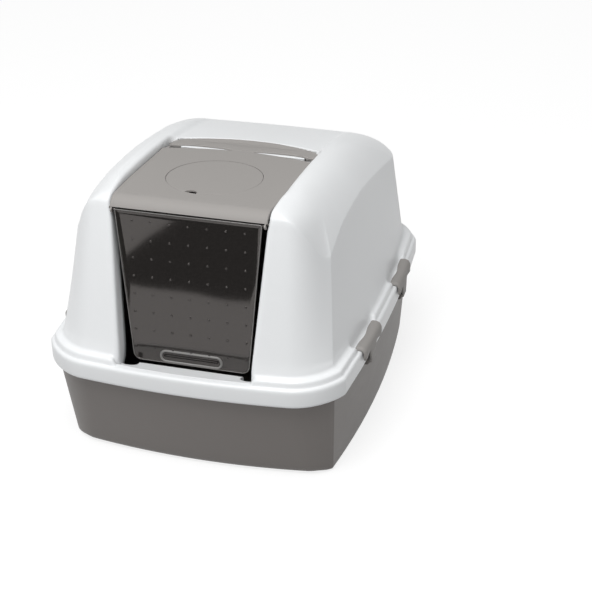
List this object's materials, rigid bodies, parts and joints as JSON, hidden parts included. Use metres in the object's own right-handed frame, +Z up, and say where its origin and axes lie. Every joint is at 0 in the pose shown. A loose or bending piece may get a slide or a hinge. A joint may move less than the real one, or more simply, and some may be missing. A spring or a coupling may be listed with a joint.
{
  "type": "hooded cat litter box",
  "caption": "Hooded front-entry cat litter box: deep pan, hood held on by side clips, smoked swing door, lift-up filter hatch and a fold-flat carrying handle.",
  "frame": {"origin": "centre of the footprint, on the floor under the pan", "axes": "+Z up, the door faces -Y, +X on the right of someone who faces the door; the long side runs along Y"},
  "size_m": [0.4746, 0.574, 0.4118],
  "materials": {
    "pan_grey": "satin moulded",
    "hood_white": "gloss moulded",
    "trim_grey": "satin moulded",
    "frame_white": "matt moulded",
    "carbon": "felt",
    "zeolite": "felt",
    "smoke": "tinted clear plastic"
  },
  "bodies": {
    "shell": {"base_pan": "pan_grey", "hood": "hood_white"},
    "hatch": {"hatch": "trim_grey", "filter_cage": "trim_grey", "filter_frame": "frame_white", "carbon_pad": "carbon", "zeolite_pad": "zeolite"},
    "filter_cover": {"filter_cover": "trim_grey"},
    "swing_door": {"swing_door": "smoke"},
    "carry_handle": {"carry_handle": "trim_grey"},
    "clip_front_right": {"clip_front_right": "trim_grey"},
    "clip_rear_right": {"clip_rear_right": "trim_grey"},
    "clip_front_left": {"clip_front_left": "trim_grey"},
    "clip_rear_left": {"clip_rear_left": "trim_grey"}
  },
  "joints": [
    {"name": "hatch_hinge", "type": "hinge", "parent": "shell", "child": "hatch", "pos_m": [0, 0.01, 0.383], "axis": [-1, 0, 0], "range_deg": [0, 78]},
    {"name": "door_swing", "type": "hinge", "parent": "hatch", "child": "swing_door", "pos_m": [0, -0.217, 0.39], "axis": [1, 0, 0], "range_deg": [-60, 60]},
    {"name": "filter_cover_lift", "type": "slide", "parent": "hatch", "child": "filter_cover", "axis": [0, 0.0785, 0.9969], "range_m": [0, 0.02]},
    {"name": "handle_swing", "type": "hinge", "parent": "shell", "child": "carry_handle", "pos_m": [0, 0.03, 0.381], "axis": [1, 0, 0], "range_deg": [0, 70]},
    {"name": "clip_front_right_hinge", "type": "hinge", "parent": "shell", "child": "clip_front_right", "pos_m": [0.22817, -0.107, 0.1374], "axis": [0.0363, 0.9993, 0], "range_deg": [0, 95]},
    {"name": "clip_rear_right_hinge", "type": "hinge", "parent": "shell", "child": "clip_rear_right", "pos_m": [0.22817, 0.095, 0.1374], "axis": [-0.0363, 0.9993, 0], "range_deg": [0, 95]},
    {"name": "clip_front_left_hinge", "type": "hinge", "parent": "shell", "child": "clip_front_left", "pos_m": [-0.22817, -0.107, 0.1374], "axis": [0.0363, -0.9993, 0], "range_deg": [0, 95]},
    {"name": "clip_rear_left_hinge", "type": "hinge", "parent": "shell", "child": "clip_rear_left", "pos_m": [-0.22817, 0.095, 0.1374], "axis": [-0.0363, -0.9993, 0], "range_deg": [0, 95]}
  ]
}
